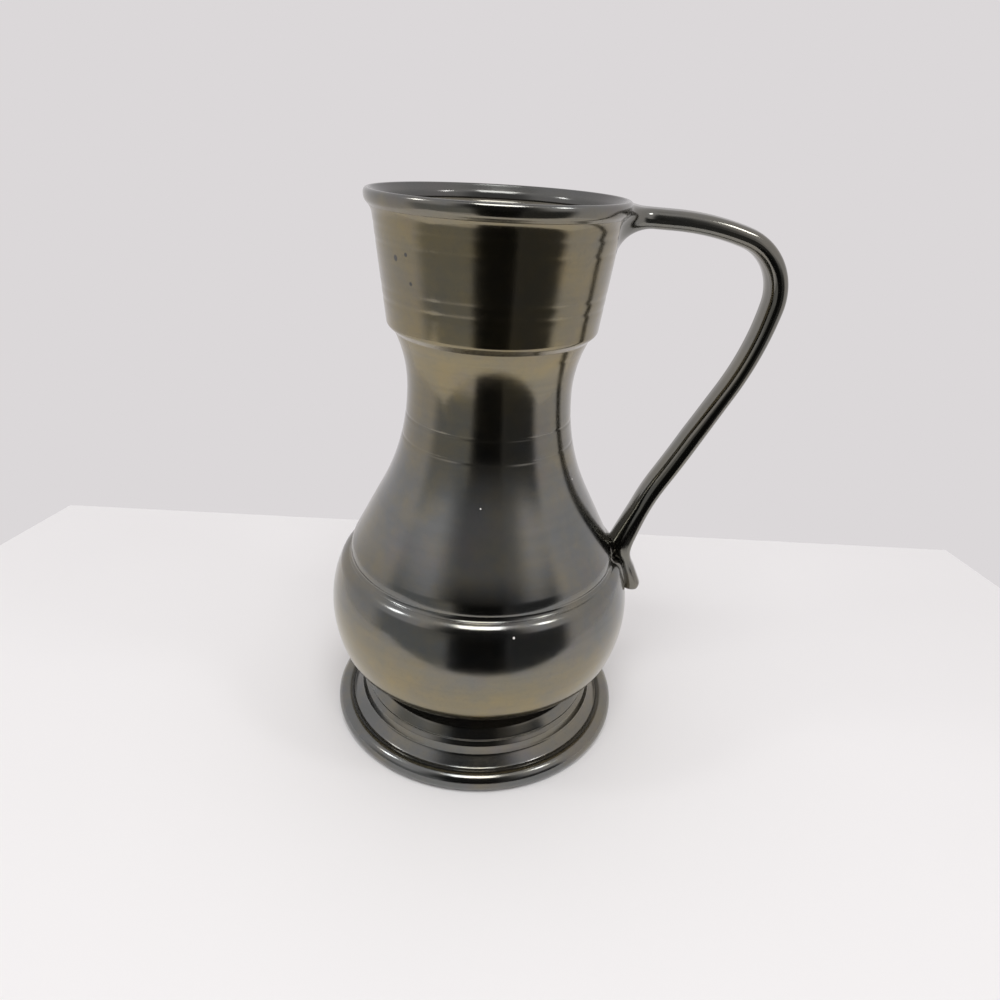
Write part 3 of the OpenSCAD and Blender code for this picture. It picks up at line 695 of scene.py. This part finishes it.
# Levels by height in millimetres, and marks as place and radius
BODY_GOLD = [(0, 0.1), (26, 0.25), (34, 0.95), (52, 0.9), (76, 0.2), (135, 0.12), (172, 0.45), (190, 0.85),
             (205, 0.65), (245, 0.7)]
BODY_HAZE = [(0, 0), (96, 0), (107, 0.25), (128, 0.25), (152, 0), (250, 0)]
# Painted shade in the crevice between foot and bowl, as height and amount
BODY_CREVICE_SHADE = [(0, 0), (21.9, 0), (22.3, 0.9), (29, 0.9), (34, 0), (250, 0)]
BODY_CHIPS = [((12.6, -67.1, 84.3), 0.7), ((37.9, -19.4, 135.6), 0.45), ((-2.9, -43.9, 131.9), 0.45)]
BODY_SMUDGES = [((-38.0, -29.7, 227.5), 1.6), ((-33.9, -34.6, 229.5), 1.1), ((-32.1, -34.7, 219.3), 1.0)]
RIM_GOLD = [(0, 0.6), (243, 0.6), (247, 0.3), (250, 0.05)]
HANDLE_GOLD = [(0, 0.2), (250, 0.2)]
HANDLE_CHIPS = [((119.9, -5.0, 213.8), 1.1), ((120.4, -4.5, 217.5), 0.6)]
EVEN_STREAKS = (40, 40, 40)
body_glaze = lustre("lustre_body", BODY_GOLD, 1.4, 0.17, BODY_CHIPS, BODY_SMUDGES, BODY_HAZE, BODY_CREVICE_SHADE)
rim_glaze = lustre("lustre_rim", RIM_GOLD, 0.9, 0.16, streak_scale=EVEN_STREAKS)
handle_glaze = lustre("lustre_handle", HANDLE_GOLD, 0.5, 0.13, HANDLE_CHIPS, streak_scale=EVEN_STREAKS)

for piece, cad_node, mat, slot in (
        (foot, "foot_ring", body_glaze, "body_glaze"),
        (bowl, "bowl", body_glaze, "body_glaze"),
        (neck, "neck", body_glaze, "body_glaze"),
        (collar, "collar", body_glaze, "body_glaze"),
        (rim, "rim_roll", rim_glaze, "rim_glaze"),
        (strap, "handle_strap", handle_glaze, "handle_glaze"),
        (root, "upper_handle_root", handle_glaze, "handle_glaze"),
        (pad, "lower_handle_pad", handle_glaze, "handle_glaze")):
    piece.data.materials.append(mat)
    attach(piece, "root")
    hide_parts(cad_node)

# Stage: a pale table top, a dark screen behind the camera that only shows in the glaze, and soft lamps
scene = bpy.context.scene
scene.view_settings.view_transform = "Standard"
TABLE_CORNERS, TABLE_Z = [(-427, -222), (420, -167), (365.5, 167.5), (-308.8, 197.8)], -0.05
TABLE_WHITE, TABLE_ROUGH, TABLE_SHADE = (0.9, 0.895, 0.89), 0.6, 0.975
SCREEN_R, SCREEN_Z = 800.0, 150
SCREEN_LEVELS = np.array([0.012, 0.09, 0.065, 0.33, 0.2])
ROOM_COLOR = (0.71, 0.685, 0.695, 1)
LAMP_AIM = Vector((0, 0, 0.15))


def plain(name, color, rough):
    mat = bpy.data.materials.new(name)
    mat.use_nodes = True
    t = mat.node_tree
    shader = t.nodes["Principled BSDF"]
    soft = noise(t, node(t, "ShaderNodeTexCoord").outputs["Object"], 7, 3, 0.5)
    shade = tuple(c * TABLE_SHADE for c in color)
    t.links.new(mix_color(t, soft, shade, color), shader.inputs["Base Color"])
    shader.inputs["Roughness"].default_value = rough
    return mat


table = new_object("table_top", np.array([(x, y, TABLE_Z) for x, y in TABLE_CORNERS]), [(0, 1, 2, 3)])
table.data.materials.append(plain("table_white", TABLE_WHITE, TABLE_ROUGH))


def between(v, low, high, soft):
    """1 inside a range and 0 outside it, with soft ends."""
    up = np.clip((v - low) / soft + 0.5, 0, 1)
    down = np.clip((high - v) / soft + 0.5, 0, 1)
    return up * up * (3 - 2 * up) * down * down * (3 - 2 * down)


def dark_screen(name, az, el):
    """The unlit side of the room behind the camera. It only shows in the glaze."""
    A, E = np.meshgrid(az, el, indexing="ij")
    a, e = np.radians(A), np.radians(E)
    P = np.stack([np.sin(a) * np.cos(e), -np.cos(a) * np.cos(e), np.sin(e)], 2) * SCREEN_R + (0, 0, SCREEN_Z)
    middle = between(A, -22, 19, 6) * between(E, -80, 56, 10)
    above = between(A, -36, 36, 22) * between(E, 4, 56, 10)
    right = between(A, 17, 62, 10) * between(E, -80, 10, 14)
    left = between(A, -76, -20, 16) * between(E, -28, 10, 10)
    overhead = between(E, 72, 120, 8) * 0.6
    cover = 1 - (1 - middle) * (1 - above) * (1 - right) * (1 - left) * (1 - overhead)
    weights = np.stack([middle * 4, above, right, left, overhead]) + 1e-6
    level = (weights * SCREEN_LEVELS[:, None, None]).sum(0) / weights.sum(0)
    obj = new_object(name, P.reshape(-1, 3), grid_faces(*A.shape))
    point_values(obj, "cover", cover.reshape(-1))
    point_values(obj, "level", level.reshape(-1))
    mat = bpy.data.materials.new(name)
    mat.use_nodes = True
    t = mat.node_tree
    t.nodes.clear()
    glow = node(t, "ShaderNodeEmission")
    t.links.new(attribute(t, "level"), glow.inputs["Color"])
    mix = node(t, "ShaderNodeMixShader")
    t.links.new(attribute(t, "cover"), mix.inputs[0])
    t.links.new(node(t, "ShaderNodeBsdfTransparent").outputs[0], mix.inputs[1])
    t.links.new(glow.outputs[0], mix.inputs[2])
    t.links.new(mix.outputs[0], node(t, "ShaderNodeOutputMaterial").inputs["Surface"])
    obj.data.materials.append(mat)
    obj.visible_camera = False
    obj.visible_diffuse = False
    obj.visible_shadow = False


dark_screen("dark_screen", np.linspace(-180, 180, 240), np.linspace(-75, 90, 116))

world = bpy.data.worlds.new("pale_room")
scene.world = world
world.use_nodes = True
world.node_tree.nodes["Background"].inputs["Color"].default_value = ROOM_COLOR
world.node_tree.nodes["Background"].inputs["Strength"].default_value = 1.0


def lamp(name, toward, distance, size, power):
    data = bpy.data.lights.new(name, "AREA")
    data.shape = "RECTANGLE"
    data.size, data.size_y = size
    data.energy = power
    obj = bpy.data.objects.new(name, data)
    way = Vector(toward).normalized()
    obj.location = LAMP_AIM + way * distance
    obj.rotation_euler = way.to_track_quat("Z", "Y").to_euler()
    scene.collection.objects.link(obj)


lamp("lamp_front", (0.0, -0.42, 0.9), 0.75, (0.33, 0.3), 2.05)
lamp("lamp_left", (-0.73, -0.12, 0.67), 0.75, (0.1, 0.14), 0.45)
lamp("lamp_right", (0.60, -0.29, 0.75), 0.75, (0.1, 0.14), 0.45)

# Camera, from the photograph's perspective
CAM_D, CAM_H, CAM_SIDE = 0.31305, 0.27025, math.radians(2.0)
PITCH, YAW, ROLL = math.radians(26.43), math.radians(3.42), math.radians(3.35)
FOCAL_PX, IMAGE_PX, SENSOR, SHIFT_X, CLIP_START = 734.0, 1000.0, 36.0, -0.0006, 0.01
fwd = Vector((math.sin(YAW) * math.cos(PITCH), math.cos(YAW) * math.cos(PITCH), -math.sin(PITCH)))
level_right = Vector((math.cos(YAW), -math.sin(YAW), 0))
level_up = level_right.cross(fwd)
tilted_right = math.cos(ROLL) * level_right + math.sin(ROLL) * level_up
tilted_up = -math.sin(ROLL) * level_right + math.cos(ROLL) * level_up
cam_data = bpy.data.cameras.new("camera")
cam_data.sensor_width = SENSOR
cam_data.lens = FOCAL_PX / IMAGE_PX * SENSOR
cam_data.clip_start = CLIP_START
cam_data.shift_x = SHIFT_X
cam = bpy.data.objects.new("camera", cam_data)
cam.matrix_world = Matrix((
    (tilted_right.x, tilted_up.x, -fwd.x, -CAM_D * math.sin(CAM_SIDE)),
    (tilted_right.y, tilted_up.y, -fwd.y, -CAM_D * math.cos(CAM_SIDE)),
    (tilted_right.z, tilted_up.z, -fwd.z, CAM_H),
    (0, 0, 0, 1)))
scene.collection.objects.link(cam)
scene.camera = cam
